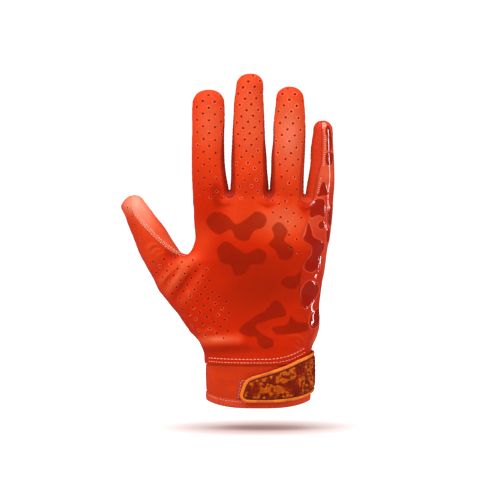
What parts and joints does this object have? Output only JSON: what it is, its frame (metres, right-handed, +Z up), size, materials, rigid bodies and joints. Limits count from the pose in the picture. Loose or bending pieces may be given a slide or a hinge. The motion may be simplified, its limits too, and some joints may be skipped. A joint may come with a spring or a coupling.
{
  "type": "american football receiver glove",
  "caption": "Right-hand football glove filled out as on a hand, with stretch gussets, a silicone grip edge and a wrist strap closed over the cuff.",
  "frame": {"origin": "centre of the wrist opening, at the height of the hem's lowest point", "axes": "+Z up from the wrist to the fingertips, -Y out of the back of the hand, +Y out of the palm, -X towards the thumb"},
  "size_m": [0.1577, 0.0546, 0.245],
  "materials": {
    "back_microfibre": "perforated synthetic leather, satin, red-orange with a darker red camouflage print",
    "palm_microfibre": "smooth tacky synthetic leather, red-orange",
    "grip_silicone": "glossy printed silicone over fabric, red-orange with raised dark red patches",
    "gusset_mesh": "fine stretch mesh, dark red-orange",
    "cuff_neoprene": "smooth neoprene, satin, red-orange",
    "hem_fabric": "turned and stitched edge binding, orange-red",
    "loop_fabric": "brushed loop pile, dark red",
    "strap_fabric": "woven backing, dark maroon",
    "piping_rubber": "moulded rubber edge, satin orange",
    "strap_print": "embossed printed film in orange and maroon camouflage"
  },
  "bodies": {
    "root": {"back_panel": "back_microfibre", "palm_panel": "palm_microfibre", "thumb_panel": "palm_microfibre", "grip_edge_panel": "grip_silicone", "gusset_index_middle": "gusset_mesh", "gusset_middle_ring": "gusset_mesh", "gusset_ring_little": "gusset_mesh", "cuff": "cuff_neoprene", "hem_band": "hem_fabric", "loop_patch": "loop_fabric", "strap": "strap_fabric", "strap_piping": "piping_rubber", "strap_face": "strap_print"}
  },
  "joints": []
}
